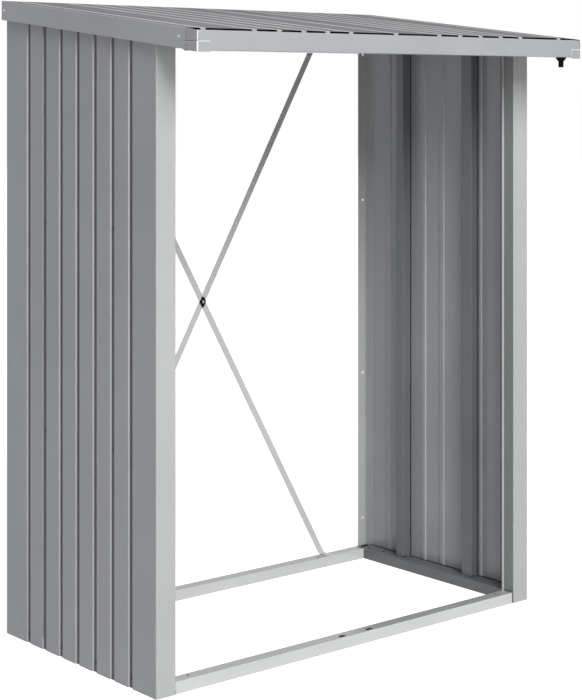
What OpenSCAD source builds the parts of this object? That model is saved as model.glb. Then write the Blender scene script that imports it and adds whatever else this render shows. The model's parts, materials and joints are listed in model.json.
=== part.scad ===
// Open-fronted steel log store: two ribbed side walls, a lean-to ribbed roof with a
// front gutter and spout, a base frame, and a flat cross brace over the open back.
// X runs across, Y from front to back, Z up. The origin is under the middle of the roof.

/* [Overall] */
// Width over the outer faces of the two walls
store_w = 1530; // [1200:1:2000]
// Depth of the walls, from the face of the front posts to the back of the rear posts
store_d = 803; // [650:1:1100]
// Height of the roof's upper edge at the back
back_h = 1990; // [1500:1:2500]
// How much lower the roof's upper edge is at the front
roof_fall = 116; // [80:1:180]

/* [Roof] */
// How far the roof reaches past each wall
roof_side = 20; // [14:1:60]
// How far the roof reaches past the front posts
roof_front = 216; // [150:1:300]
// Play between the rear posts and the back fascia
fascia_play = 0; // [0:0.5:40]
// Distance from the outer face of a wall to the last groove of the roof
edge_groove_inset = 35.4; // [30:0.1:50]
// How far the roof sheets stop short of the gutter's front
sheet_setback = 50; // [30:1:70]
// Height of the side and back fascias
fascia_h = 60; // [45:1:90]
// Width of the fascias' top flange
fascia_flange = 16; // [10:1:30]

/* [Gutter] */
// Height of the gutter's front wall
gutter_h = 56; // [40:1:80]
// How far the gutter's rim lies below the roof's front edge
gutter_drop = 2; // [1:0.5:10]
// Width of the gutter from front to back
gutter_w = 75; // [70:1:110]
// Width of the rim folded back along the gutter's top
gutter_rim = 6; // [4:1:12]
// Width of the flange that the gutter hangs by
gutter_flange = 20; // [10:1:40]
// Distance from the end of the gutter to the middle of the spout
spout_inset = 53; // [40:1:200]
// Outer radius of the spout's tube
spout_r = 8.5; // [6:0.5:14]
// Wall of the spout
spout_wall = 1.5; // [1:0.5:3]
// Radius of the spout's flare
flare_r = 17; // [15:0.5:28]
// Height of the spout's flare, rim included
flare_h = 13; // [8:1:20]
// Thickness of the spout's rim
flare_rim = 3; // [2:0.5:5]
// Length of the spout below the gutter
spout_l = 32; // [20:1:80]

/* [Corner caps] */
// Width of the lower half of a cap on the front
cap_front = 45; // [35:1:80]
// Width of a corner cap on the side
cap_side = 52; // [35:1:80]
// Height of the upper half of a cap
cap_upper_h = 32; // [20:1:40]
// How far the lower half hangs below the gutter
cap_below = 4; // [2:1:12]
// Thickness of the lower half
cap_t = 1.5; // [1.2:0.1:3]
// Thickness of the upper half
cap_upper_t = 1; // [0.8:0.1:3]

/* [Ribbed sheet] */
// Thickness of the folded steel
sheet_t = 1; // [0.6:0.1:1.5]
// Distance between grooves
groove_pitch = 91.2; // [70:0.1:110]
// Width of a groove at the face of the sheet
groove_w = 21; // [16:0.5:34]
// Depth of the grooves in the walls
wall_depth = 5; // [4:0.5:14]
// Depth of the grooves in the roof
roof_depth = 9; // [5:0.5:14]
// How far each side of a groove leans in
groove_lean = 2; // [1:0.5:3]
// Play at the end of a tongue that lies in a neighbour's groove
lap_play = 1; // [0.5:0.5:3]
// Number of grooves in a wall
wall_grooves = 7; // [7:2:7]

/* [Posts] */
// Width of a front post's face
post_w = 68; // [50:1:90]
// Depth of a front post, up to its lip
post_d = 44; // [44:1:70]
// Width of the lip along a front post's inner edge
post_lip = 9; // [9:1:14]
// Width of a rear post's back flange
rear_flange_w = 38; // [30:1:50]
// Width of a rear post's side leg
rear_leg_w = 40; // [25:1:60]
// Radius of the fixing holes in the rear posts
fixing_r = 4; // [3:0.5:5]
// Distance from a rear post's edge to its fixing holes
fixing_inset = 15; // [12:1:20]
// Height of the end fixing holes from the ends of the rear frame
fixing_end = 130; // [80:1:250]
// Height of the middle fixing holes from the ends of the rear frame
fixing_mid = 667; // [500:1:700]

/* [Rails] */
// Height of the rails
rail_h = 36; // [30:1:50]
// Width of the rails that run across
rail_d = 44; // [30:1:44]
// Depth of the bottom flange of a rail
rail_foot = 28; // [15:1:30]
// Height of the lip along the far edge of a rail
rail_lip = 14; // [5:1:20]
// Play between the front rail and the right post
front_rail_play = 8; // [0:0.5:8]
// Distance from the inner face of a side rail to the outer face of its wall
side_rail_reach = 67; // [50:1:80]
// Distance from the back rails to the back of the rear posts
back_rail_gap = 18; // [5:1:30]
// Height of the front top rail
header_h = 60; // [40:1:70]
// Distance between the two anchor slots in the front rail
anchor_spacing = 111; // [60:1:300]
// Radius of the ends of an anchor slot
anchor_r = 4.5; // [3:0.5:6]
// Length of an anchor slot from end to end
anchor_l = 23; // [14:1:40]
// Distance from the face of the front rail to the middle of the slots
anchor_inset = 14; // [8:1:20]

/* [Stiffeners and rafter] */
// Depth of a wall stiffener, from the back of the grooves
stiffener_d = 36; // [20:1:45]
// Width of the front stiffener
front_stiffener_w = 48; // [30:1:60]
// Width of the rear stiffener
rear_stiffener_w = 37; // [34:1:60]
// How far the front stiffener's front edge lies behind its wall joint
front_stiffener_offset = 2; // [-20:1:20]
// Play between the rear stiffener and the groove that it straddles
rear_stiffener_play = 1; // [1:0.5:4]
// Width of the roof rafter
rafter_w = 40; // [20:1:60]
// Height of the roof rafter
rafter_h = 32; // [20:1:45]
// Width of the flanges under the rafter
rafter_flange = 12; // [6:1:20]

/* [Cross brace] */
// Width of a brace strip
brace_w = 22; // [12:1:40]
// Thickness of a brace strip
brace_t = 2; // [1:0.1:3]
// Distance from a wall's outer face to the middle of a brace's end
brace_inset = 225; // [120:1:300]
// Distance from the back rails to the back of the braces
brace_gap = 12; // [4:1:16]
// Length of the tab at each end of a brace
brace_tab = 50; // [40:1:60]
// Width of the clip over the crossing
clip_w = 25; // [20:1:60]
// Height of the clip over the crossing
clip_h = 37; // [24:1:90]
// Thickness of the clip
clip_t = 4; // [2:0.5:8]

/* [Hidden] */
half_w = store_w / 2 + roof_side;
roof_d = store_d + roof_front + fascia_play + sheet_t;
half_d = roof_d / 2;
slope = atan(roof_fall / roof_d);
fascia_x = half_w - cap_t;
inner_x = fascia_x - sheet_t;
front_y = roof_front - half_d;
back_y = front_y + store_d;
wall_x = store_w / 2;
groove_back = wall_depth + sheet_t;
roof_under = roof_depth + 2 * sheet_t;
open_x = wall_x - post_w;
side_rail_x = wall_x - side_rail_reach;
rear_rail_y = back_y - back_rail_gap;
gutter_y = cap_t - half_d;
gutter_top = line_z(-half_d) - gutter_drop;
gutter_base = gutter_top - gutter_h;
cap_split = gutter_top - cap_upper_h + gutter_drop;
spout_x = half_w - spout_inset;
spout_y = gutter_y + gutter_w / 2;
wall_mid = store_d / 2;
joint_front = wall_groove(1);
joint_rear = wall_groove(wall_grooves - 2);
brace_back = rear_rail_y + brace_gap;
top_base = under_z(rear_rail_y - rail_d) - rail_h;
far = store_w + store_d + back_h;
$fn = 48;

// Heights of the roof's upper edge and of its underside at a place along Y
function line_z(y) = back_h - (half_d - y) * tan(slope);
function under_z(y) = line_z(y) - roof_under / cos(slope);

// Distance of a wall groove's middle from the front of the wall
function wall_groove(k) = wall_mid + (k - (wall_grooves - 1) / 2) * groove_pitch;

// Folded steel: a strip of one thickness along a line of folds.
// A positive thickness lies to the left of the line.
function unit(v) = v / norm(v);
function edge_normal(p, i) = let (e = unit(p[i + 1] - p[i])) [-e.y, e.x];
function inner_point(p, i, t) =
    let (a = edge_normal(p, max(i - 1, 0)), b = edge_normal(p, min(i, len(p) - 2)))
    p[i] + t * (a + b) / (1 + a * b);

module folded(p, t) {
    inner = [for (i = [len(p) - 1 : -1 : 0]) inner_point(p, i, t)];
    polygon(concat(p, inner));
}

// One groove, and the last half groove of a sheet that ends in its neighbour's
function groove(g, depth) = [
    [g - groove_w / 2, 0],
    [g - groove_w / 2 + groove_lean, depth],
    [g + groove_w / 2 - groove_lean, depth],
    [g + groove_w / 2, 0]
];
function lap_after(g, depth) = [
    [g - groove_w / 2, 0],
    [g - groove_w / 2 + groove_lean, depth],
    [g + groove_w / 2 - groove_lean - lap_play, depth]
];
function lap_before(g, depth) = [
    [g - groove_w / 2 + groove_lean + lap_play, depth],
    [g + groove_w / 2 - groove_lean, depth],
    [g + groove_w / 2, 0]
];
function grooves(places, depth) = [for (g = places) each groove(g, depth)];

// Placing
module right_side() {
    mirror([1, 0, 0]) children();
}

module along_x(x0, x1) {
    translate([x0, 0, 0]) rotate([90, 0, 90]) linear_extrude(height = x1 - x0) children();
}

module along_y(y0, y1) {
    translate([0, y1, 0]) rotate([90, 0, 0]) linear_extrude(height = y1 - y0) children();
}

// A section run along the slope, in a frame whose top is the roof's upper edge
module along_slope(y0, y1) {
    reach = roof_d + 100;
    intersection() {
        translate([0, half_d, back_h]) rotate([slope, 0, 0])
            translate([0, 50, 0]) rotate([90, 0, 0]) linear_extrude(height = reach) children();
        translate([-far / 2, y0, -far / 2]) cube([far, y1 - y0, 2 * far]);
    }
}

// What lies under the roof's underside
module below_roof() {
    intersection() {
        children();
        along_x(-half_w, half_w) polygon([
            [-half_d, 0], [half_d, 0], [half_d, under_z(half_d)], [-half_d, under_z(-half_d)]
        ]);
    }
}

// What lies under the roof's upper edge
module below_line() {
    intersection() {
        children();
        along_x(-half_w, half_w) polygon([
            [-half_d, 0], [half_d, 0], [half_d, line_z(half_d)], [-half_d, line_z(-half_d)]
        ]);
    }
}

// Base frame
module cross_rail(x0, x1, y) {
    along_x(x0, x1) translate([y, 0]) folded([
        [rail_foot, 0], [0, 0], [0, rail_h], [rail_d, rail_h], [rail_d, rail_h - rail_lip]
    ], -sheet_t);
}

module slot(length, r, depth) {
    for (side = [-1, 1])
        translate([side * (length / 2 - r), 0, 0]) cylinder(r = r, h = depth);
    translate([r - length / 2, -r, 0]) cube([length - 2 * r, 2 * r, depth]);
}

module base_rail_front() {
    color("silver") difference() {
        cross_rail(-open_x, open_x - front_rail_play, front_y);
        for (side = [-1, 1])
            translate([side * anchor_spacing / 2, front_y + anchor_inset, -1])
                slot(anchor_l, anchor_r, rail_h + 2);
    }
}

module base_rail_back() {
    color("silver") cross_rail(-side_rail_x, side_rail_x, rear_rail_y - rail_d);
}

module side_rail_section() {
    width = side_rail_reach - groove_back;
    folded([
        [-rail_foot, 0], [0, 0], [0, rail_h], [-width, rail_h], [-width, rail_h - rail_lip]
    ], sheet_t);
}

module base_rail_left() {
    color("silver") along_y(front_y + post_d + sheet_t, rear_rail_y)
        translate([-side_rail_x, 0]) side_rail_section();
}

module base_rail_right() {
    right_side() base_rail_left();
}

// Posts
module front_post_left() {
    color("silver") below_roof() linear_extrude(height = back_h)
        translate([-wall_x, front_y]) folded([
            [sheet_t, post_d], [sheet_t, 0], [post_w, 0], [post_w, post_d],
            [post_w + post_lip, post_d]
        ], sheet_t);
}

module front_post_right() {
    right_side() front_post_left();
}

module rear_post_left() {
    frame_h = top_base + rail_h;
    color("silver") difference() {
        below_roof() linear_extrude(height = back_h) translate([-wall_x, back_y]) folded([
            [sheet_t, -rear_leg_w], [sheet_t, 0], [rear_flange_w, 0]
        ], -sheet_t);
        for (h = [fixing_end, fixing_mid, frame_h - fixing_mid, frame_h - fixing_end])
            translate([fixing_inset - wall_x, back_y + 1, h]) rotate([90, 0, 0])
                cylinder(r = fixing_r, h = sheet_t + 2);
    }
}

module rear_post_right() {
    right_side() rear_post_left();
}

// Walls
module wall_panel(line) {
    color("silver") below_roof() linear_extrude(height = back_h)
        translate([-wall_x, front_y]) mirror([1, -1, 0]) folded(line, sheet_t);
}

module left_wall_front_panel() {
    wall_panel(concat(
        [[0, 0]],
        groove(wall_groove(0), wall_depth),
        lap_after(joint_front, wall_depth - sheet_t)
    ));
}

module left_wall_middle_panel() {
    wall_panel(concat(
        lap_before(joint_front, wall_depth),
        grooves([for (k = [2 : wall_grooves - 3]) wall_groove(k)], wall_depth),
        lap_after(joint_rear, wall_depth)
    ));
}

module left_wall_rear_panel() {
    wall_panel(concat(
        lap_before(joint_rear, wall_depth - sheet_t),
        groove(wall_groove(wall_grooves - 1), wall_depth),
        [[store_d, 0]]
    ));
}

module right_wall_front_panel() {
    right_side() left_wall_front_panel();
}

module right_wall_middle_panel() {
    right_side() left_wall_middle_panel();
}

module right_wall_rear_panel() {
    right_side() left_wall_rear_panel();
}

// Wall stiffeners stand on the side rails and stop under the side top rails. The front
// one rests on the back of a groove, the rear one straddles a groove.
module stiffener(foot, y0, y1) {
    under = (roof_under + rail_h) / cos(slope);
    x = groove_back + stiffener_d;
    color("silver") intersection() {
        translate([-wall_x, front_y, rail_h]) linear_extrude(height = back_h)
            folded([[foot, y0], [x, y0], [x, y1], [foot, y1]], sheet_t);
        along_x(-half_w, half_w) polygon([
            [-half_d, 0], [half_d, 0],
            [half_d, line_z(half_d) - under], [-half_d, line_z(-half_d) - under]
        ]);
    }
}

module left_wall_front_stiffener() {
    y0 = joint_front + front_stiffener_offset;
    stiffener(groove_back, y0, y0 + front_stiffener_w);
}

module left_wall_rear_stiffener() {
    y1 = joint_rear + groove_w / 2 + rear_stiffener_play + sheet_t;
    stiffener(sheet_t, y1 - rear_stiffener_w, y1);
}

module right_wall_front_stiffener() {
    right_side() left_wall_front_stiffener();
}

module right_wall_rear_stiffener() {
    right_side() left_wall_rear_stiffener();
}

// Top frame
module header(y0, y1, x, h) {
    base = under_z(y0) - h;
    color("silver") along_x(-x, x) folded([
        [min(y0 + rail_foot, y1), base], [y0, base], [y0, under_z(y0)], [y1, under_z(y1)],
        [y1, under_z(y1) - rail_lip]
    ], -sheet_t);
}

module top_rail_front() {
    header(front_y, front_y + rail_d, open_x, header_h);
}

module top_rail_back() {
    header(rear_rail_y - rail_d, rear_rail_y, side_rail_x, rail_h);
}

module top_rail_left() {
    color("silver") along_slope(front_y + post_d + sheet_t, back_y - sheet_t)
        translate([-side_rail_x, -roof_under - rail_h]) side_rail_section();
}

module top_rail_right() {
    right_side() top_rail_left();
}

module roof_rafter() {
    w = rafter_w / 2;
    f = w + rafter_flange;
    color("silver") along_slope(front_y + rail_d, rear_rail_y - rail_d)
        translate([0, -roof_under]) folded([
            [-f, -rafter_h], [-w, -rafter_h], [-w, 0], [w, 0], [w, -rafter_h], [f, -rafter_h]
        ], -sheet_t);
}

// Roof sheets: even grooves from the seam, but for a wider flat beside the seam and
// beside the last groove, which lies over the side top rail
function roof_grooves(last) = [
    for (k = [2 : floor(last / groove_pitch - 1.5)]) k * groove_pitch,
    last
];

module roof_sheet(line) {
    color("darkgray") along_slope(sheet_setback - half_d, half_d - sheet_t)
        translate([0, -sheet_t]) mirror([0, 1, 0]) folded(line, sheet_t);
}

module roof_sheet_right() {
    roof_sheet(concat(
        lap_before(0, roof_depth - sheet_t),
        grooves(roof_grooves(wall_x - edge_groove_inset), roof_depth),
        [[inner_x, 0]]
    ));
}

module roof_sheet_left() {
    right_side() roof_sheet(concat(
        lap_before(0, roof_depth),
        grooves(roof_grooves(wall_x - edge_groove_inset), roof_depth),
        [[inner_x, 0]]
    ));
}

// Fascias
module fascia_left() {
    color("silver") along_slope(gutter_y, half_d) folded([
        [-fascia_x, -fascia_h], [-fascia_x, 0], [fascia_flange - fascia_x, 0]
    ], -sheet_t);
}

module fascia_right() {
    right_side() fascia_left();
}

module fascia_back() {
    inner = fascia_x - fascia_flange;
    color("silver") {
        along_x(-inner_x, inner_x) polygon([
            [half_d - sheet_t, line_z(half_d) - fascia_h], [half_d, line_z(half_d) - fascia_h],
            [half_d, line_z(half_d) - roof_under], [half_d - sheet_t, line_z(half_d) - roof_under]
        ]);
        along_x(-inner, inner) folded([
            [half_d, line_z(half_d) - roof_under], [half_d, line_z(half_d)],
            [half_d - fascia_flange, line_z(half_d - fascia_flange)]
        ], sheet_t);
    }
}

// Gutter, hung by its back flange from the underside of the roof sheets
module front_gutter() {
    back = gutter_y + gutter_w;
    hang = back + gutter_flange;
    drop = (roof_under + sheet_t) / cos(slope);
    color("silver") difference() {
        along_x(-inner_x, inner_x) folded([
            [gutter_y + gutter_rim, gutter_top], [gutter_y, gutter_top],
            [gutter_y, gutter_base], [back, gutter_base],
            [back, line_z(back) - drop], [hang, line_z(hang) - drop]
        ], sheet_t);
        translate([spout_x, spout_y, gutter_base - 1])
            cylinder(r = spout_r - spout_wall, h = sheet_t + 2);
    }
}

module rain_spout() {
    bore = spout_r - spout_wall;
    color("black") translate([spout_x, spout_y, gutter_base]) rotate_extrude()
        polygon([
            [bore, 0], [flare_r, 0], [flare_r, -flare_rim], [spout_r, -flare_h],
            [spout_r, -spout_l], [bore, -spout_l]
        ]);
}

// Corner caps in two halves: a plate on the side, and below it a thicker angle that
// closes the end of the gutter and turns round the front
module corner_cap_left() {
    color("silver") below_line()
        translate([cap_t - cap_upper_t - half_w, gutter_y, cap_split])
            cube([cap_upper_t, cap_side - cap_t, cap_upper_h + cap_side]);
}

module corner_cap_right() {
    right_side() corner_cap_left();
}

module gutter_end_left() {
    base = gutter_base - cap_below;
    rise = half_d * tan(slope);
    color("silver") intersection() {
        translate([-half_w, -half_d, base]) linear_extrude(height = cap_split - base)
            folded([[cap_front, 0], [0, 0], [0, cap_side]], -cap_t);
        along_x(-half_w - 1, 0) polygon([
            [-2 * half_d, base - rise], [0, base + rise], [0, back_h], [-2 * half_d, back_h]
        ]);
    }
}

module gutter_end_right() {
    right_side() gutter_end_left();
}

// Cross brace over the open back: two flat strips with tabs on the rails
module brace(y) {
    x = wall_x - brace_inset;
    rise = top_base - rail_h;
    half = brace_w / 2 / cos(atan(2 * x / rise));
    color("silver") {
        translate([0, y, 0]) rotate([90, 0, 0]) linear_extrude(height = brace_t) polygon([
            [-x - half, rail_h], [half - x, rail_h], [x + half, top_base], [x - half, top_base]
        ]);
        for (end = [[-x, rail_h, rail_h + brace_t], [x, top_base - brace_t, top_base]])
            along_x(end.x - brace_w / 2, end.x + brace_w / 2) polygon([
                [y - brace_tab, end.y], [y, end.y], [y, end.z], [y - brace_tab, end.z]
            ]);
    }
}

module brace_rising() {
    brace(brace_back);
}

module brace_falling() {
    right_side() brace(brace_back - brace_t);
}

module brace_clip() {
    z = (rail_h + top_base) / 2;
    r = clip_t;
    color("black") translate([0, brace_back - 2 * brace_t, z]) rotate([90, 0, 0])
        linear_extrude(height = clip_t) polygon([
            [-clip_w / 2, r / 2], [-r / 2, clip_h / 2], [r / 2, clip_h / 2],
            [clip_w / 2, r / 2], [clip_w / 2, -r / 2], [r / 2, -clip_h / 2],
            [-r / 2, -clip_h / 2], [-clip_w / 2, -r / 2]
        ]);
}

base_rail_front();
base_rail_back();
base_rail_left();
base_rail_right();
front_post_left();
front_post_right();
rear_post_left();
rear_post_right();
left_wall_front_panel();
left_wall_middle_panel();
left_wall_rear_panel();
right_wall_front_panel();
right_wall_middle_panel();
right_wall_rear_panel();
left_wall_front_stiffener();
left_wall_rear_stiffener();
right_wall_front_stiffener();
right_wall_rear_stiffener();
top_rail_front();
top_rail_back();
top_rail_left();
top_rail_right();
roof_rafter();
roof_sheet_left();
roof_sheet_right();
fascia_left();
fascia_right();
fascia_back();
front_gutter();
rain_spout();
corner_cap_left();
corner_cap_right();
gutter_end_left();
gutter_end_right();
brace_rising();
brace_falling();
brace_clip();
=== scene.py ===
import json
import math

import bmesh
import bpy
from mathutils import Matrix, Vector


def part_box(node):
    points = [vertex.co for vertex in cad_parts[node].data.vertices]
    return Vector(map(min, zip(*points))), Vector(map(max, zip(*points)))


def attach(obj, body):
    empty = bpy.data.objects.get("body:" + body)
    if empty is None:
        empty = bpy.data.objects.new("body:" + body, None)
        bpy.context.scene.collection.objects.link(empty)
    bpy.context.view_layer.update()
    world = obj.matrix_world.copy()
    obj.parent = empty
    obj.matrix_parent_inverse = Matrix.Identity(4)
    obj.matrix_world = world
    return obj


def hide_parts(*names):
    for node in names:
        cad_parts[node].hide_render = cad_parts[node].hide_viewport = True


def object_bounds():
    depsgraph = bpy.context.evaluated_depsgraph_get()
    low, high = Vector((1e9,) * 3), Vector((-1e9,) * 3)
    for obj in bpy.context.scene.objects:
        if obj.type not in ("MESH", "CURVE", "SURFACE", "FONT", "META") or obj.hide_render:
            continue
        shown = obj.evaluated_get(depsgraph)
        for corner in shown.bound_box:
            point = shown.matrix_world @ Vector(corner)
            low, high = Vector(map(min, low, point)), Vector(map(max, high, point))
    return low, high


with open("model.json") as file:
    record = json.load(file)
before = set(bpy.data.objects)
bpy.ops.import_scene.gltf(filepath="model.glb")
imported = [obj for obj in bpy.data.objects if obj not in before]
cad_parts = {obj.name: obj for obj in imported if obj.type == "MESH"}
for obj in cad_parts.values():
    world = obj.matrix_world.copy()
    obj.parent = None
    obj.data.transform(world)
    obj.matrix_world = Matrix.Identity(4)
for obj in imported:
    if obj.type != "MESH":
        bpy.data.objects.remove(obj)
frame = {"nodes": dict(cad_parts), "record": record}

CAD_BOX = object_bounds()
SLOT_OF = {part["node"]: part["material_slot"] for part in frame["record"]["subparts"]}
MOUNTS = {mount["name"]: mount for mount in frame["record"]["mounts"]}
X, Y, Z = Vector((1, 0, 0)), Vector((0, 1, 0)), Vector((0, 0, 1))
SIDES = (("left", -1), ("right", 1))


def box(node):
    low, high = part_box(node)
    return Vector(low), Vector(high)


def mount_size(mount, size):
    """A size that a mount states in millimetres, in metres."""
    return MOUNTS[mount]["dims"][size] / 1000


# Places, all from the CAD frame. What stands on both sides is drawn at the right and mirrored
HALF_D, TOP = CAD_BOX[1][1:]
RAIL_LOW, RAIL_HIGH = box("base_rail_front")
SIDE_RAIL_LOW, SIDE_RAIL_HIGH = box("base_rail_right")
POST_LOW, POST_HIGH = box("front_post_right")
REAR_LOW, REAR_HIGH = box("rear_post_right")
CAP_LOW, CAP_HIGH = box("corner_cap_right")
END_LOW, END_HIGH = box("gutter_end_right")
WALL_X = box("right_wall_middle_panel")[1].x
FRONT_Y = RAIL_LOW.y
BACK_Y = REAR_HIGH.y
RAIL_H = RAIL_HIGH.z
SLOPE = (TOP - CAP_HIGH.z) / (HALF_D - CAP_HIGH.y)
TILT = math.hypot(1, SLOPE)

# Folded steel, in metres
SHEET = 0.001
BEND = 0.0016
RAIL_FOOT = 0.028
RAIL_LIP = 0.014
POST_LIP = 0.009
POST_STEP = 0.0075
HEADER_H = 0.060
RAFTER_W = 0.040
RAFTER_H = 0.032
FASCIA_H = 0.060
FASCIA_FLANGE = 0.016
BRACE_W = 0.022
BRACE_T = 0.002
BRACE_INSET = 0.225

# Ribbed sheet: a groove's sides lean, and lapped sheets end short of the other side
GROOVE_PITCH = 0.0912
GROOVE_W = 0.021
GROOVE_LEAN = 0.002
GROOVE_FLOOR = GROOVE_W / 2 - GROOVE_LEAN
LAP_PLAY = 0.001
WALL_GROOVES = 7
WALL_DEPTH = 0.005
ROOF_DEPTH = 0.009
ROOF_UNDER = ROOF_DEPTH + 2 * SHEET
EDGE_GROOVE = WALL_X - 0.0354
ROOF_GROOVES = [k * GROOVE_PITCH for k in range(2, 7)] + [EDGE_GROOVE]

# Holes in the tops of the rails. A side rail's are x from its inner side, y from its rear end,
# length along X and end radius
END_HOLE_INSET = 0.061
END_HOLE_Y = 0.027
END_HOLE_L = 0.005
END_HOLE_R = 0.0024
SIDE_HOLES = (
    (0.0300, 0.0170, 0.0300, 0.0065),
    (0.0060, 0.0290, 0.0070, 0.0034),
    (0.0195, 0.0500, 0.0070, 0.0034),
    (0.0275, 0.1215, 0.0055, 0.0027),
)

# Screws in the walls, and rivets in the fascias as y and the drop from the roof's edge
JOINT_SCREW_HEIGHTS = (0.669, 1.306)
FOOT_SCREW_HEIGHT = 0.029
RIVETS = ((CAP_HIGH.y + 0.0345, 0.02804), (HALF_D - 0.0144, 0.02936))

# Black strips of painted shade at the walls' foot and beside the stiffeners, black foam, and how
# clear they stay of the steel beside them
CLEAR = 0.0002
FOOT_SHADE_STRIP = 0.0016
STIFFENER_GAP = 0.0045
STRIP_T = 0.0030
FOAM_H = 0.010
FOAM_T = 0.0038

# Corner caps
CAP_UPPER_T = 0.0008
CAP_LOWER_T = 0.0015
CAP_GAP = 0.0013
CAP_DROP = 0.0032

# The gutter's section
GUTTER_H = 0.056
GUTTER_D = 0.075
GUTTER_RIM = 0.006
GUTTER_SLANT_D = 0.018
GUTTER_SLANT_H = 0.008

# What picks faces for painted highlight and shade: the share of an axis in a normal that looks
# along the axis, or leans towards it, and the share of a groove's depth below which its floor lies
ALONG = 0.9
LEANING = 0.6
DEEP = 0.6


def line_z(y):
    """Height of the roof's upper side."""
    return TOP - (HALF_D - y) * SLOPE


def under_z(y):
    """Height of the underside of the roof's grooves, where walls and posts end."""
    return line_z(y) - ROOF_UNDER * TILT


def wall_groove(k):
    """The middle of a wall's groove, measured from the wall's front."""
    return (BACK_Y - FRONT_Y) / 2 + (k - (WALL_GROOVES - 1) / 2) * GROOVE_PITCH


# Shader nodes
def maths(tree, operation, a, b):
    node = tree.nodes.new("ShaderNodeMath")
    node.operation = operation
    tree.links.new(a, node.inputs[0])
    tree.links.new(b, node.inputs[1])
    return node.outputs[0]


def spread(tree, source, span, low, high):
    """The source's values, spread from a span of its own onto low to high."""
    node = tree.nodes.new("ShaderNodeMapRange")
    node.inputs["From Min"].default_value = span[0]
    node.inputs["From Max"].default_value = span[1]
    node.inputs["To Min"].default_value = low
    node.inputs["To Max"].default_value = high
    tree.links.new(source, node.inputs["Value"])
    return node


def noise(tree, scale, detail, low, high):
    coord = tree.nodes.new("ShaderNodeTexCoord")
    tex = tree.nodes.new("ShaderNodeTexNoise")
    tex.inputs["Scale"].default_value = scale
    tex.inputs["Detail"].default_value = detail
    tree.links.new(coord.outputs["Object"], tex.inputs["Vector"])
    return spread(tree, tex.outputs["Fac"], (0.3, 0.7), low, high).outputs["Result"]


def in_view(tree):
    """1 where the camera or a mirror image sees, 0 where light only falls."""
    path = tree.nodes.new("ShaderNodeLightPath")
    return maths(tree, "MAXIMUM", path.outputs["Is Camera Ray"], path.outputs["Is Glossy Ray"])


# Materials: satin powder coat with fine flakes, moulded black plastic, and foam, and coats that
# paint highlights and shade
def coat(name, dark, light, rough, metallic=0.0, grain=1400, gloss=0.5):
    mat = bpy.data.materials.new(name)
    mat.use_nodes = True
    tree = mat.node_tree
    shader = tree.nodes["Principled BSDF"]
    shader.inputs["Metallic"].default_value = metallic
    shader.inputs["Specular IOR Level"].default_value = gloss
    mix = tree.nodes.new("ShaderNodeMix")
    mix.data_type = "RGBA"
    mix.inputs[6].default_value = (*dark, 1)
    mix.inputs[7].default_value = (*light, 1)
    clouds = noise(tree, scale=3.0, detail=3, low=0.15, high=0.55)
    flakes = noise(tree, scale=grain, detail=2, low=-0.15, high=0.45)
    tree.links.new(maths(tree, "ADD", clouds, flakes), mix.inputs[0])
    tree.links.new(mix.outputs[2], shader.inputs["Base Color"])
    sheen = noise(tree, scale=6.0, detail=3, low=rough - 0.015, high=rough + 0.015)
    tree.links.new(sheen, shader.inputs["Roughness"])
    bump = tree.nodes.new("ShaderNodeBump")
    bump.inputs["Strength"].default_value = 0.12
    bump.inputs["Distance"].default_value = 0.0003
    tree.links.new(noise(tree, scale=grain / 2, detail=2, low=0, high=1), bump.inputs["Height"])
    tree.links.new(bump.outputs["Normal"], shader.inputs["Normal"])
    return mat


# The frame's coat; also painted onto the rail tops as shade and onto the walls' front-facing flanks
# as highlight
FRAME_STEEL_AND_PAINTED_SHADING = coat("frame_steel", (0.41, 0.415, 0.42), (0.51, 0.52, 0.523), 0.23)
RAIL_STEEL = coat("rail_steel", (0.55, 0.562, 0.56), (0.69, 0.702, 0.70), 0.23)
INNER_STEEL = coat("inner_steel", (0.115, 0.122, 0.128), (0.18, 0.188, 0.195), 0.32)
# Painted highlight for bends, chamfers and groove sides; also the colour of the fascia rivets
RIVET_AND_PAINTED_HIGHLIGHT = coat("rivet_and_painted_highlight", (0.80, 0.80, 0.80), (0.92, 0.92, 0.92), 0.30)
# Painted shade for the posts' inward faces
POST_PAINTED_SHADE = coat("post_painted_shade", (0.19, 0.195, 0.20), (0.28, 0.285, 0.29), 0.32)
# Painted shade: a dark coat for the groove floors and the stiffeners' rear bends, where shade falls
PAINTED_SHADE = coat("painted_shade", (0.055, 0.058, 0.062), (0.085, 0.09, 0.095), 0.50)
SHEET_STEEL = coat("sheet_steel", (0.31, 0.321, 0.342), (0.407, 0.42, 0.444), 0.23)
ROOF_STEEL = coat("roof_steel", (0.305, 0.31, 0.324), (0.40, 0.407, 0.424), 0.60, gloss=0.0)
TRIM_STEEL = coat("trim_steel", (0.325, 0.332, 0.35), (0.43, 0.44, 0.46), 0.23)
FASCIA_STEEL = coat("fascia_steel", (0.37, 0.378, 0.398), (0.48, 0.49, 0.512), 0.23)
BLACK_PLASTIC = coat(
    "black_plastic", (0.002, 0.002, 0.002), (0.010, 0.010, 0.011), 0.45, grain=900, gloss=0.03)
# Black for the foam and gaskets, and painted shade as the black strips at the walls' foot and
# beside the stiffeners
BLACK_FOAM_AND_PAINTED_SHADE = coat(
    "black_foam_and_painted_shade", (0.002, 0.002, 0.002), (0.006, 0.006, 0.006), 0.90, grain=500, gloss=0.0)
SCREW_STEEL = coat(
    "screw_steel", (0.03, 0.03, 0.032), (0.08, 0.08, 0.085), 0.35, metallic=0.6, grain=900)
SLOTS = {
    "frame_steel": FRAME_STEEL_AND_PAINTED_SHADING, "rail_steel": RAIL_STEEL, "inner_steel": INNER_STEEL,
    "sheet_steel": SHEET_STEEL, "roof_steel": ROOF_STEEL, "trim_steel": TRIM_STEEL,
    "black_plastic": BLACK_PLASTIC,
}


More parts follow.
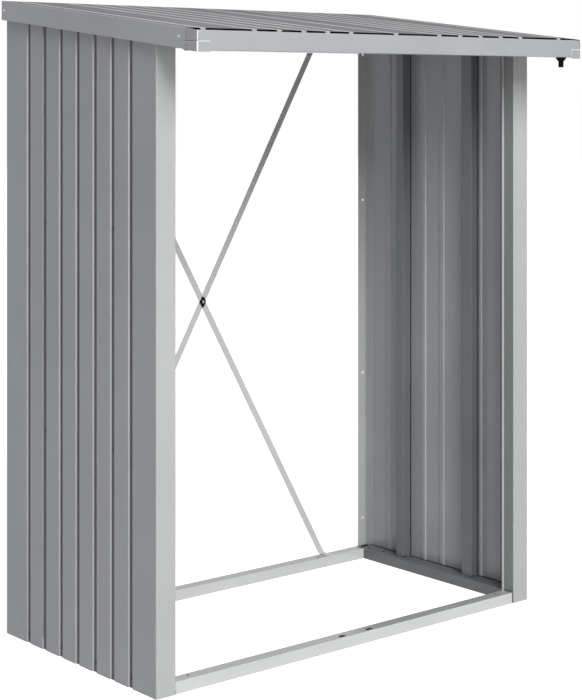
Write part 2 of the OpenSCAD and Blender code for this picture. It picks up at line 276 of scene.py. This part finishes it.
# Objects
def add_object(name, bm):
    """Puts bm into the scene as an object."""
    mesh = bpy.data.meshes.new(name)
    bm.to_mesh(mesh)
    bm.free()
    obj = bpy.data.objects.new(name, mesh)
    bpy.context.scene.collection.objects.link(obj)
    return obj


def shade_smooth(mesh, angle=35):
    """Smooth faces, with edges that stay sharp above an angle in degrees."""
    mesh.polygons.foreach_set("use_smooth", [True] * len(mesh.polygons))
    mesh.set_sharp_from_angle(angle=math.radians(angle))


def piece(name, bm, node=None, material=None, bevel=0.0, angle=35):
    """Turns bm into a piece on the frame, which stands for the node if one is given."""
    bmesh.ops.recalc_face_normals(bm, faces=bm.faces)
    if bevel:
        sharp = [e for e in bm.edges if len(e.link_faces) == 2 and e.calc_face_angle() > 0.6]
        bmesh.ops.bevel(
            bm, geom=sharp, offset=bevel, segments=2, affect="EDGES", clamp_overlap=True)
    obj = add_object(name, bm)
    shade_smooth(obj.data, angle)
    slot = SLOT_OF[node] if node else None
    obj.data.materials.append(material or SLOTS[slot])
    flat = obj.modifiers.new("flat_faces", "WEIGHTED_NORMAL")
    flat.keep_sharp = True
    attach(obj, "root")
    if node:
        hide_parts(node)
    return obj


def paint_shading(obj, material, chosen):
    """Paints highlight and shade: gives another coat to the faces that the test picks by middle and
    normal.
    """
    obj.data.materials.append(material)
    for face in obj.data.polygons:
        if chosen(face.center, face.normal):
            face.material_index = len(obj.data.materials) - 1


def cut(obj, bm):
    """Takes the closed shapes in bm out of a piece."""
    bmesh.ops.recalc_face_normals(bm, faces=bm.faces)
    cutter = add_object("cutter", bm)
    tool = obj.modifiers.new("holes", "BOOLEAN")
    tool.object = cutter
    tool.solver = "EXACT"
    shaped = obj.evaluated_get(bpy.context.evaluated_depsgraph_get())
    result = bpy.data.meshes.new_from_object(shaped)
    obj.modifiers.remove(tool)
    obj.data = result
    shade_smooth(result)
    bpy.data.objects.remove(cutter)


# Folded sheet
def left_of(way):
    return Vector((-way.y, way.x))


def fold(line, t, bends=None):
    """Points on both faces of sheet folded along a line, with round bends.
    The sheet lies to the left of the line where t is positive. A bend that isn't as the rest
    has its radius in bends, by its point's number in the line."""
    line = [Vector(p) for p in line]
    ways = [(b - a).normalized() for a, b in zip(line, line[1:])]
    spans = [(b - a).length for a, b in zip(line, line[1:])]
    faces = [(line[0], line[0] + left_of(ways[0]) * t)]
    for i in range(1, len(line) - 1):
        a, b = ways[i - 1], ways[i]
        turn = math.atan2(a.x * b.y - a.y * b.x, a.dot(b))
        half = math.tan(abs(turn) / 2)
        radius = (bends or {}).get(i, BEND) + (abs(t) if turn * t > 0 else 0)
        radius = min(radius, 0.45 * min(spans[i - 1], spans[i]) / half)
        hand = math.copysign(1, turn)
        centre = line[i] - a * radius * half + left_of(a) * hand * radius
        steps = max(3, round(abs(turn) / math.radians(15)))
        for k in range(steps + 1):
            normal = left_of(a)
            normal.rotate(Matrix.Rotation(turn * k / steps, 2))
            p = centre - normal * hand * radius
            faces.append((p, p + normal * t))
    faces.append((line[-1], line[-1] + left_of(ways[-1]) * t))
    return faces


def loft(sections, side):
    """Sheet between sections that each hold the points of its two faces.
    Side -1 is the mirror image across X."""
    bm = bmesh.new()
    rings = []
    for section in sections:
        rings.append([
            [bm.verts.new((side * p[0], p[1], p[2])) for p in points] for points in section])
    last = len(rings[0][0]) - 1
    for (a, b), (c, d) in zip(rings, rings[1:]):
        for k in range(last):
            bm.faces.new((a[k], a[k + 1], c[k + 1], c[k]))
            bm.faces.new((b[k + 1], b[k], d[k], d[k + 1]))
        bm.faces.new((a[0], c[0], d[0], b[0]))
        bm.faces.new((a[last], b[last], d[last], c[last]))
    for a, b in (rings[0], rings[-1]):
        for k in range(last):
            bm.faces.new((a[k], b[k], b[k + 1], a[k + 1]))
    return bm


def sweep(faces, ends, side=1):
    """Folded sheet between two ends, each a function that places the fold's points there."""
    return loft([[[place(pair[k]) for pair in faces] for k in (0, 1)] for place in ends], side)


def across(x0, x1):
    return [lambda p, x=x: (x, p.x, p.y) for x in (x0, x1)]


def front_to_back(y0, y1):
    return [lambda p, y=y: (p.x, y, p.y) for y in (y0, y1)]


def down_roof(y0, y1):
    return [lambda p, y=y: (p.x, y, line_z(y) + p.y * TILT) for y in (y0, y1)]


def upright(z0, height):
    return [lambda p: (p.x, p.y, z0), lambda p: (p.x, p.y, height(p.y))]


# Solid shapes
def skin(bm, rings):
    """Joins each ring of points to the next."""
    for a, b in zip(rings, rings[1:]):
        for k in range(len(a)):
            bm.faces.new((a[k - 1], a[k], b[k], b[k - 1]))


def lathe(bm, profile, at, axis, count=40, hollow=False):
    """Turns (radius, height) points round an axis, and closes the ends.
    A hollow shape joins its last point to its first instead."""
    turn = axis.to_track_quat("Z", "Y").to_matrix()
    rings = []
    for radius, height in profile:
        ring = []
        for k in range(count):
            angle = 2 * math.pi * k / count
            p = Vector((radius * math.cos(angle), radius * math.sin(angle), height))
            ring.append(bm.verts.new(Vector(at) + turn @ p))
        rings.append(ring)
    if hollow:
        skin(bm, rings + rings[:1])
    else:
        skin(bm, rings)
        bm.faces.new(rings[0])
        bm.faces.new(rings[-1])


def prism(bm, outline, along):
    """A flat outline of points pushed along a vector."""
    a = [bm.verts.new(Vector(p)) for p in outline]
    b = [bm.verts.new(Vector(p) + Vector(along)) for p in outline]
    skin(bm, [a, b])
    bm.faces.new(a)
    bm.faces.new(b)


def rectangle(u0, v0, u1, v1):
    return [(u0, v0), (u1, v0), (u1, v1), (u0, v1)]


def stadium(at, length, radius, count=10):
    """The outline of a slot along X at a level place."""
    points = []
    for side in (1, -1):
        for k in range(count + 1):
            angle = math.pi * (k / count - 0.5)
            x = side * (length / 2 - radius + radius * math.cos(angle))
            points.append(Vector(at) + Vector((x, side * radius * math.sin(angle), 0)))
    return points


def painted_shade_lining(bm, at, length, radius):
    """A black lining with a thin lip, in a slot or a hole in a level place: painted shade that
    darkens the slot.
    """
    wall, lip, depth = 0.0008, 0.0016, 0.006
    profile = [(0, 0.0004), (0, -depth), (wall, -depth), (wall, 0), (lip, 0), (lip, 0.0003)]
    rings = []
    for grow, up in profile:
        outline = stadium(at, length + 2 * grow, radius + grow)
        rings.append([bm.verts.new(p + Z * up) for p in outline])
    skin(bm, rings + rings[:1])


def drill(obj, places, axis, radius, reach=0.010, count=20):
    """Round holes through a piece, that reach as far to both sides of each place."""
    bm = bmesh.new()
    for at in places:
        lathe(bm, [(radius, -reach), (radius, reach)], at, axis, count)
    cut(obj, bm)


def screws(name, places, axis):
    """Hexagon-headed screws on their washers, heads along the axis."""
    bm = bmesh.new()
    for at in places:
        washer = [(0.0048, -0.0004), (0.0052, 0.0002), (0.0048, 0.0009), (0.0030, 0.0012)]
        lathe(bm, washer, at, axis, 24)
        head = [(0.0033, 0.0010), (0.0036, 0.0014), (0.0036, 0.0034), (0.0030, 0.0040)]
        lathe(bm, head, at, axis, 6)
    piece(name, bm, material=SCREW_STEEL, angle=40)


# Base frame
def rail_line(face, back):
    """A rail's folds from the edge of its foot to the edge of its lip."""
    return [
        (face + RAIL_FOOT, 0), (face, 0), (face, RAIL_H), (back, RAIL_H), (back, RAIL_H - RAIL_LIP)]


def cross_rail(name, node):
    low, high = box(node)
    bm = sweep(fold(rail_line(low.y, high.y), -SHEET), across(low.x, high.x))
    rail = piece(name, bm, node)
    # Painted shade: the rail's top faces take the darker frame coat
    paint_shading(rail, FRAME_STEEL_AND_PAINTED_SHADING, lambda at, normal: normal.z > ALONG)
    return rail


def slot_rail(rail, slots, painted_shade_linings, reach=0.005):
    """Cuts slots through a rail's top and lines them with painted shade. A slot is x, y, length and
    end radius.
    """
    bm = bmesh.new()
    for x, y, length, radius in slots:
        prism(bm, stadium((x, y, RAIL_H - reach), length, radius), (0, 0, 2 * reach))
        painted_shade_lining(painted_shade_linings, (x, y, RAIL_H), length, radius)
    cut(rail, bm)


painted_shade_linings = bmesh.new()
anchor_x = mount_size("anchor_slots", "spacing_x_mm") / 2
anchor_y = MOUNTS["anchor_slots"]["pos_m"][1]
anchor_l = mount_size("anchor_slots", "slot_length_mm")
anchor_r = mount_size("anchor_slots", "hole_r_mm")
end_x = -RAIL_LOW.x - END_HOLE_INSET
front_slots = [(x, anchor_y, anchor_l, anchor_r) for x in (-anchor_x, anchor_x)]
front_slots += [(x, FRONT_Y + END_HOLE_Y, END_HOLE_L, END_HOLE_R) for x in (-end_x, end_x)]
slot_rail(cross_rail("front_rail", "base_rail_front"), front_slots, painted_shade_linings)
cross_rail("back_rail", "base_rail_back")
side_rail = rail_line(SIDE_RAIL_LOW.x, SIDE_RAIL_HIGH.x)
for name, side in SIDES:
    ends = front_to_back(SIDE_RAIL_LOW.y, SIDE_RAIL_HIGH.y)
    rail = piece(name + "_rail", sweep(fold(side_rail, -SHEET), ends, side), "base_rail_" + name)
    side_slots = [
        (side * (SIDE_RAIL_LOW.x + x), SIDE_RAIL_HIGH.y - y, length, radius)
        for x, y, length, radius in SIDE_HOLES]
    slot_rail(rail, side_slots, painted_shade_linings)
piece("rail_painted_shade_linings", painted_shade_linings, material=BLACK_PLASTIC)

# Posts: the front corner steps out over the edge of the wall sheet
inner_x = POST_LOW.x + POST_LIP
inner_y = POST_HIGH.y - SHEET
step_y = FRONT_Y + POST_STEP
front_post = [
    (WALL_X - SHEET, inner_y), (WALL_X - SHEET, step_y), (WALL_X, step_y - SHEET),
    (WALL_X, FRONT_Y), (inner_x, FRONT_Y), (inner_x, inner_y), (POST_LOW.x, inner_y)]
front_bends = {3: 0.0030, 4: 0.0022}
rear_post = [(WALL_X - SHEET, REAR_LOW.y), (WALL_X - SHEET, BACK_Y), (REAR_LOW.x, BACK_Y)]
fixings = []
for mount in ("rear_fixings", "rear_fixings_middle"):
    fixing_x = mount_size(mount, "spacing_x_mm") / 2
    middle_z = MOUNTS[mount]["pos_m"][2]
    half = mount_size(mount, "spacing_y_mm") / 2
    fixings += [(fixing_x, BACK_Y, z) for z in (middle_z - half, middle_z + half)]
for name, side in SIDES:
    obj = piece(
        "post_front_" + name,
        sweep(fold(front_post, -SHEET, front_bends), upright(0, under_z), side),
        "front_post_" + name)
    # Painted shade: the post's inward faces take a darker coat
    paint_shading(obj, POST_PAINTED_SHADE, lambda at, normal: side * normal.x < -ALONG)
    obj = piece(
        "post_rear_" + name, sweep(fold(rear_post, SHEET), upright(0, under_z), side),
        "rear_post_" + name)
    places = [(side * x, y, z) for x, y, z in fixings]
    drill(obj, places, Y, mount_size("rear_fixings", "hole_r_mm"))


# Walls: three sheets a side, lapped in the grooves next to the ends
def groove(middle, depth):
    """A groove's folds, as places along the sheet and depths."""
    return [
        (middle - GROOVE_W / 2, 0), (middle - GROOVE_FLOOR, depth),
        (middle + GROOVE_FLOOR, depth), (middle + GROOVE_W / 2, 0)]


def lap_after(middle, depth):
    """The end of a sheet, on the floor of the groove that it shares."""
    return groove(middle, depth)[:2] + [(middle + GROOVE_FLOOR - LAP_PLAY, depth)]


def lap_before(middle, depth):
    """The start of a sheet, on the floor of the groove that it shares."""
    return [(middle - GROOVE_FLOOR + LAP_PLAY, depth)] + groove(middle, depth)[2:]


joints = (1, WALL_GROOVES - 2)
front_joint, rear_joint = wall_groove(joints[0]), wall_groove(joints[1])
middle_panel = [p for k in range(2, joints[1]) for p in groove(wall_groove(k), WALL_DEPTH)]
panels = {
    "front_panel": [(POST_STEP, 0)] + groove(wall_groove(0), WALL_DEPTH)
    + lap_after(front_joint, WALL_DEPTH - SHEET),
    "middle_panel": lap_before(front_joint, WALL_DEPTH) + middle_panel
    + lap_after(rear_joint, WALL_DEPTH),
    "rear_panel": lap_before(rear_joint, WALL_DEPTH - SHEET)
    + groove(wall_groove(WALL_GROOVES - 1), WALL_DEPTH) + [(BACK_Y - FRONT_Y, 0)],
}
screw_places = [(k, z) for k in joints for z in JOINT_SCREW_HEIGHTS]
screw_places += [(k, FOOT_SCREW_HEIGHT) for k in range(0, WALL_GROOVES, 2)]
for name, side in SIDES:
    for panel, line in panels.items():
        placed = [(WALL_X - depth, FRONT_Y + along) for along, depth in line]
        obj = piece(
            name + "_" + panel, sweep(fold(placed, SHEET), upright(0, under_z), side),
            name + "_wall_" + panel)
        # Painted shade on the outer floors of the grooves, and a painted highlight in the lighter
        # frame coat on the faces that look to the front
        paint_shading(
            obj, PAINTED_SHADE, lambda at, normal:
            side * at.x < WALL_X - DEEP * WALL_DEPTH and side * normal.x > ALONG)
        paint_shading(obj, FRAME_STEEL_AND_PAINTED_SHADING, lambda at, normal: normal.y < -LEANING)
    floor_x = side * (WALL_X - WALL_DEPTH)
    spots = [(floor_x, FRONT_Y + wall_groove(k), z) for k, z in screw_places]
    screws(name + "_wall_screws", spots, X * side)


# Wall stiffeners, with small notches at the feet of their folds
def stiffener_top(y):
    return line_z(y) - (ROOF_UNDER + RAIL_H) * TILT


def on_rear_bend(at, normal):
    return normal.y > 0.3 and abs(normal.x) > 0.1


STIFFENERS = ("front_stiffener", "rear_stiffener")
for node in STIFFENERS:
    low, high = box("right_wall_" + node)
    foot = high.x - STIFFENER_GAP
    line = [(foot, low.y), (low.x, low.y), (low.x, high.y), (foot, high.y)]
    faces = fold(line, -SHEET, {1: 0.0020, 2: 0.0030})
    for name, side in SIDES:
        obj = piece(
            name + "_" + node, sweep(faces, upright(RAIL_H, stiffener_top), side),
            name + "_wall_" + node)
        # Painted shade on the rear bend, which turns away from the light
        paint_shading(obj, PAINTED_SHADE, on_rear_bend)
        folds = [(side * low.x, y, RAIL_H) for y in (low.y, high.y)]
        drill(obj, folds, X, radius=0.0042, reach=0.020, count=16)

# Black strips at the foot of the walls, and in the gap between stiffener and wall: painted shade
# for these corners
for name, side in SIDES:
    bm = bmesh.new()
    foot = rectangle(
        SIDE_RAIL_HIGH.x - FOOT_SHADE_STRIP, SIDE_RAIL_LOW.y + 2 * SHEET,
        SIDE_RAIL_HIGH.x - CLEAR, REAR_LOW.y)
    prism(bm, [(side * x, y, RAIL_H) for x, y in foot], (0, 0, FOOT_SHADE_STRIP))
    for node in STIFFENERS:
        low, high = box("right_wall_" + node)
        base, top = RAIL_H + 0.001, high.z - 0.011
        for y in (low.y + CLEAR, high.y - CLEAR - STRIP_T):
            strip = rectangle(high.x - STIFFENER_GAP, y, high.x - CLEAR, y + STRIP_T)
            prism(bm, [(side * x, v, base) for x, v in strip], (0, 0, top - base))
    piece(name + "_wall_shade_strips", bm, material=BLACK_FOAM_AND_PAINTED_SHADE)


# Top frame
def header_line(front, back, height):
    """A top rail's folds, with its top along the slope."""
    base = under_z(front) - height
    return [
        (front + RAIL_FOOT, base), (front, base), (front, under_z(front)),
        (back, under_z(back)), (back, under_z(back) - RAIL_LIP)]


for name, node, height in (
        ("front_header", "top_rail_front", HEADER_H), ("back_header", "top_rail_back", RAIL_H)):
    low, high = box(node)
    bm = sweep(fold(header_line(low.y, high.y, height), -SHEET), across(low.x, high.x))
    piece(name, bm, node)
low, high = box("top_rail_right")
top_rail = [(u, v - ROOF_UNDER - RAIL_H) for u, v in side_rail]
for name, side in SIDES:
    piece(
        name + "_top_rail", sweep(fold(top_rail, -SHEET), down_roof(low.y, high.y), side),
        "top_rail_" + name)
low, high = box("roof_rafter")
web, brim = RAFTER_W / 2, high.x
hat = [
    (-brim, -RAFTER_H), (-web, -RAFTER_H), (-web, 0), (web, 0), (web, -RAFTER_H),
    (brim, -RAFTER_H)]
rafter = [(u, v - ROOF_UNDER) for u, v in hat]
piece("rafter", sweep(fold(rafter, -SHEET), down_roof(low.y, high.y)), "roof_rafter")

# Roof sheets, lapped in the middle groove
low, high = box("roof_sheet_right")
for name, side, lap_depth in (("left", -1, ROOF_DEPTH), ("right", 1, ROOF_DEPTH - SHEET)):
    line = lap_before(0, lap_depth)
    for middle in ROOF_GROOVES:
        line += groove(middle, ROOF_DEPTH)
    line += [(high.x, 0)]
    placed = [(u, -depth) for u, depth in line]
    obj = piece(
        "roof_" + name, sweep(fold(placed, -SHEET), down_roof(low.y, high.y), side),
        "roof_sheet_" + name)
    # Painted highlight on the groove sides, and painted shade on the groove floors
    paint_shading(obj, RIVET_AND_PAINTED_HIGHLIGHT, lambda at, normal: abs(normal.x) > LEANING)
    paint_shading(
        obj, PAINTED_SHADE, lambda at, normal:
        normal.z > ALONG and at.z < line_z(at.y) - DEEP * ROOF_DEPTH)


# Black foam under the front edge of the roof sheets, a strip in each crest
def foam_strip(bm, outline, y):
    """A strip from places across the roof and heights above its upper side."""
    prism(
        bm, [(u, y, line_z(y) + v * TILT) for u, v in outline], (0, FOAM_T, FOAM_T * SLOPE))


bm = bmesh.new()
foam_y = low.y - FOAM_T - CLEAR
middles = [-middle for middle in reversed(ROOF_GROOVES)] + [0] + ROOF_GROOVES
foot_grow, top_shrink = 0.001, 0.0006
for a, b in zip(middles, middles[1:]):
    u0, u1 = a + GROOVE_W / 2, b - GROOVE_W / 2
    crest = [
        (u0 - foot_grow, -FOAM_H), (u0 + top_shrink, -CLEAR), (u1 - top_shrink, -CLEAR),
        (u1 + foot_grow, -FOAM_H)]
    foam_strip(bm, crest, foam_y)
flange_x = box("fascia_right")[0].x
outer_crest = rectangle(EDGE_GROOVE + GROOVE_W / 2, -FOAM_H, flange_x, -2 * CLEAR)
for side in (-1, 1):
    foam_strip(bm, [(side * u, v) for u, v in outer_crest], foam_y)
piece("eaves_foam", bm, material=BLACK_FOAM_AND_PAINTED_SHADE)

# Fascias
low, high = box("fascia_right")
side_fascia = [(high.x, -FASCIA_H), (high.x, 0), (high.x - FASCIA_FLANGE, 0)]
under_cap = CAP_HIGH.y - 0.004
for name, side in SIDES:
    bm = sweep(fold(side_fascia, SHEET), down_roof(under_cap, high.y), side)
    piece(name + "_fascia", bm, "fascia_" + name, FASCIA_STEEL)
    bm = bmesh.new()
    for y, drop in RIVETS:
        head = [(0.0042, -0.0002), (0.0042, 0.0005), (0.0034, 0.0011), (0.0018, 0.0014)]
        lathe(bm, head, (side * high.x, y, line_z(y) - drop), X * side, 24)
    piece(name + "_fascia_rivets", bm, material=RIVET_AND_PAINTED_HIGHLIGHT)
low, high = box("fascia_back")
flange_y = HALF_D - FASCIA_FLANGE
back_fascia = [(HALF_D, TOP - FASCIA_H), (HALF_D, TOP), (flange_y, line_z(flange_y))]
piece("back_fascia", sweep(fold(back_fascia, SHEET), across(low.x, high.x)), "fascia_back")

# Gutter, with a slanted edge behind and a flange under the roof
low, high = box("front_gutter")
rim_z = low.z + GUTTER_H
back = low.y + GUTTER_D
gutter_line = [
    (low.y + GUTTER_RIM, rim_z), (low.y, rim_z), (low.y, low.z), (back - GUTTER_SLANT_D, low.z),
    (back, low.z + GUTTER_SLANT_H)]
gutter_line += [(y, line_z(y) - (ROOF_UNDER + SHEET) * TILT) for y in (back, high.y)]
gutter = piece(
    "gutter", sweep(fold(gutter_line, SHEET), across(low.x, high.x)), "front_gutter")

# Spout: a collar under the gutter, a cone and a pipe for a hose
spout_low, spout_high = box("rain_spout")
spout = (spout_low + spout_high) / 2
bore_r = mount_size("spout_bore", "r_mm")
pipe_r = mount_size("hose_spout", "r_mm")
collar_r = (spout_high.x - spout_low.x) / 2
pipe_end = spout_low.z - spout_high.z
drill(gutter, [(spout.x, spout.y, low.z)], Z, bore_r)
profile = [
    (bore_r, 0), (collar_r, 0), (collar_r, -0.0030), (collar_r - 0.001, -0.0040),
    (pipe_r + 0.0007, -0.0125), (pipe_r, -0.0135), (pipe_r, pipe_end + 0.0010),
    (pipe_r - 0.0005, pipe_end), (bore_r + 0.0002, pipe_end), (bore_r, pipe_end + 0.0005)]
bm = bmesh.new()
lathe(bm, profile, (spout.x, spout.y, spout_high.z), Z, hollow=True)
piece("spout", bm, "rain_spout")


# Corner caps: an upper half against the fascia, and a lower half over the gutter's end
def slanted(at, normal):
    return max(map(abs, normal)) < 0.97


def at_height(points, height):
    return [(p.x, p.y, height(p)) for p in points]


def cap_foot(p):
    return CAP_LOW.z + CAP_GAP


def cap_top(p):
    """The cap's upper edge, which drops below the roof line towards the front."""
    share = (CAP_HIGH.y - p.y) / (CAP_HIGH.y - CAP_LOW.y)
    return line_z(max(p.y, CAP_LOW.y)) - CAP_DROP * min(1, share)


def cap_upper(name, side):
    turn = CAP_HIGH.x - 0.006
    front = END_LOW.y + 2 * CLEAR
    line = [(turn, front), (CAP_HIGH.x, front), (CAP_HIGH.x, CAP_HIGH.y)]
    faces = list(zip(*fold(line, CAP_UPPER_T, {1: 0.0032})))
    sections = [[at_height(points, height) for points in faces] for height in (cap_foot, cap_top)]
    obj = piece("cap_upper_" + name, loft(sections, side), "corner_cap_" + name)
    # Painted highlight on the bend and the top faces
    paint_shading(obj, RIVET_AND_PAINTED_HIGHLIGHT, lambda at, normal: slanted(at, normal) or normal.z > ALONG)


def cap_lower(name, side):
    """The lower half, with a chamfer along its top."""
    low, high = END_LOW, END_HIGH
    chamfer_w, chamfer_h = 0.0013, 0.0016
    line = [(low.x, low.y), (high.x, low.y), (high.x, high.y)]
    pairs = fold(line, CAP_LOWER_T, {1: 0.0028})
    inner = [b for a, b in pairs]
    sections = []
    for height, inset in (
            (lambda p: low.z + (p.y - low.y) * SLOPE, 0), (lambda p: high.z - chamfer_h, 0),
            (lambda p: high.z, chamfer_w)):
        outer = [a + (b - a).normalized() * inset for a, b in pairs]
        sections.append([at_height(outer, height), at_height(inner, height)])
    obj = piece("cap_lower_" + name, loft(sections, side), "gutter_end_" + name, bevel=0.0002)
    # Painted highlight on the chamfer, the bends and the inner end
    paint_shading(obj, RIVET_AND_PAINTED_HIGHLIGHT, lambda at, normal: slanted(at, normal) or abs(at.x) < low.x + 0.001)


def cap_gasket(name, side):
    """Black gaskets between the halves, along the rear edge and behind the upper half."""
    bm = bmesh.new()
    gap = rectangle(CAP_LOW.x, CAP_LOW.y, CAP_HIGH.x - CLEAR, CAP_HIGH.y)
    play = 0.0001
    prism(bm, [(side * x, y, CAP_LOW.z + play) for x, y in gap], (0, 0, CAP_GAP - 2 * play))
    rim_w, rim_t, rim_drop = 0.0013, 0.0006, 0.020
    rim = rectangle(
        CAP_HIGH.y, CAP_LOW.z - rim_drop, CAP_HIGH.y + rim_w, line_z(CAP_HIGH.y))
    prism(bm, [(side * CAP_LOW.x, y, z) for y, z in rim], (side * rim_t, 0, 0))
    block_w, y0, y1 = 0.012, CAP_LOW.y + 0.0015, CAP_HIGH.y - 0.001
    block = [(y, line_z(y) - block_w) for y in (y0, y1)]
    block += [(y, line_z(y) - 0.0003) for y in (y1, y0)]
    block_x = side * (CAP_LOW.x - CLEAR)
    prism(bm, [(block_x, y, z) for y, z in block], (-side * block_w, 0, 0))
    piece("cap_gasket_" + name, bm, material=BLACK_FOAM_AND_PAINTED_SHADE)


for name, side in SIDES:
    cap_upper(name, side)
    cap_lower(name, side)
    cap_gasket(name, side)

# Cross brace: strips with tabs bent onto the rails
RISE = box("top_rail_back")[0].z - RAIL_H
REACH = WALL_X - BRACE_INSET
BRACE_HALF = BRACE_W / 2 * math.hypot(1, 2 * REACH / RISE)


def along_brace(offset):
    """Places a strip's points on its slanting line, beside its middle by the offset."""
    return lambda p: (REACH * (2 * (p.y - RAIL_H) / RISE - 1) + offset, p.x, p.y)


for name, side in (("rising", 1), ("falling", -1)):
    low, high = box("brace_" + name)
    line = [(low.y, low.z), (high.y, low.z), (high.y, high.z), (low.y, high.z)]
    faces = fold(line, BRACE_T, {1: 0.003, 2: 0.003})
    ends = [along_brace(-BRACE_HALF), along_brace(BRACE_HALF)]
    piece("strip_" + name, sweep(faces, ends, side), "brace_" + name)

# The clip over the crossing, a lozenge with cut corners, and its rivet
low, high = box("brace_clip")
middle = (low + high) / 2
half_w, half_h = (high.x - low.x) / 2, (high.z - low.z) / 2
corner = 0.002
outline = [
    (-half_w, corner), (-corner, half_h), (corner, half_h), (half_w, corner),
    (half_w, -corner), (corner, -half_h), (-corner, -half_h), (-half_w, -corner)]
bm = bmesh.new()
prism(bm, [(middle.x + u, high.y, middle.z + v) for u, v in outline], (0, low.y - high.y, 0))
piece("clip", bm, "brace_clip", bevel=0.0008)
bm = bmesh.new()
head = [(0.0050, 0.0000), (0.0052, 0.0010), (0.0044, 0.0020), (0.0022, 0.0026)]
lathe(bm, head, (middle.x, low.y, middle.z), -Y, 24)
piece("clip_rivet", bm, material=FRAME_STEEL_AND_PAINTED_SHADING)

# Every CAD node keeps its slot's finish too
for name, node in frame["nodes"].items():
    node.data.materials.clear()
    node.data.materials.append(SLOTS[SLOT_OF[name]])


# Floor: grey to the light that falls on it, and white in view, a little less so by the object
def floor_material():
    mat = bpy.data.materials.new("floor")
    mat.use_nodes = True
    tree = mat.node_tree
    diffuse = tree.nodes["Principled BSDF"]
    diffuse.inputs["Base Color"].default_value = (0.56, 0.56, 0.56, 1)
    diffuse.inputs["Roughness"].default_value = 0.9
    place = tree.nodes.new("ShaderNodeNewGeometry")
    away = tree.nodes.new("ShaderNodeVectorMath")
    away.operation = "LENGTH"
    tree.links.new(place.outputs["Position"], away.inputs[0])
    fade = spread(tree, away.outputs["Value"], (1.5, 4.0), 0.90, 1.0)
    glow = tree.nodes.new("ShaderNodeEmission")
    level = maths(tree, "MULTIPLY", in_view(tree), fade.outputs[0])
    tree.links.new(level, glow.inputs["Strength"])
    total = tree.nodes.new("ShaderNodeAddShader")
    tree.links.new(diffuse.outputs[0], total.inputs[0])
    tree.links.new(glow.outputs[0], total.inputs[1])
    tree.links.new(total.outputs[0], tree.nodes["Material Output"].inputs["Surface"])
    return mat


bm = bmesh.new()
floor_half, floor_top, floor_t = 30, -0.0002, 0.0198
square = rectangle(-floor_half, -floor_half, floor_half, floor_half)
prism(bm, [(x, y, floor_top - floor_t) for x, y in square], (0, 0, floor_t))
floor = add_object("floor", bm)
floor.data.materials.append(floor_material())

# World: white in view, and for light a dim sky that darkens upwards
world = bpy.data.worlds.new("world")
bpy.context.scene.world = world
world.use_nodes = True
tree = world.node_tree
coord = tree.nodes.new("ShaderNodeTexCoord")
split = tree.nodes.new("ShaderNodeSeparateXYZ")
tree.links.new(coord.outputs["Generated"], split.inputs[0])
sky = spread(tree, split.outputs["Z"], (0, 1), 0.24, 0.02)
strength = spread(tree, in_view(tree), (0, 1), 0, 1.0)
tree.links.new(sky.outputs[0], strength.inputs["To Min"])
tree.nodes["Background"].inputs[0].default_value = (1, 1, 1, 1)
tree.links.new(strength.outputs[0], tree.nodes["Background"].inputs[1])


# Lamps and camera, placed as the photo was taken
def lamp(name, at, target, size, size_y, power):
    data = bpy.data.lights.new(name, "AREA")
    data.shape = "RECTANGLE"
    data.size = size
    data.size_y = size_y
    data.energy = power
    obj = bpy.data.objects.new(name, data)
    bpy.context.scene.collection.objects.link(obj)
    obj.location = at
    obj.rotation_euler = (Vector(at) - Vector(target)).to_track_quat("Z", "Y").to_euler()


lamp("key_light", at=(-2.9, -10.3, 8.3), target=(0, 0, 0.9), size=7.0, size_y=7.0, power=1580)
lamp("edge_light", at=(-4.6, -5.4, 1.2), target=(0, 0, 1.0), size=0.8, size_y=3.5, power=60)

camera = bpy.data.cameras.new("camera")
camera.sensor_width = 36.0
camera.lens = 91.1
camera.shift_x = 0.0008
camera.shift_y = -0.368
camera_obj = bpy.data.objects.new("camera", camera)
bpy.context.scene.collection.objects.link(camera_obj)
camera_obj.location = (-3.6719, -4.3314, 1.702)
camera_obj.rotation_euler = (math.radians(90), 0, math.radians(-40.08))
bpy.context.scene.camera = camera_obj
bpy.context.scene.view_settings.view_transform = "Standard"
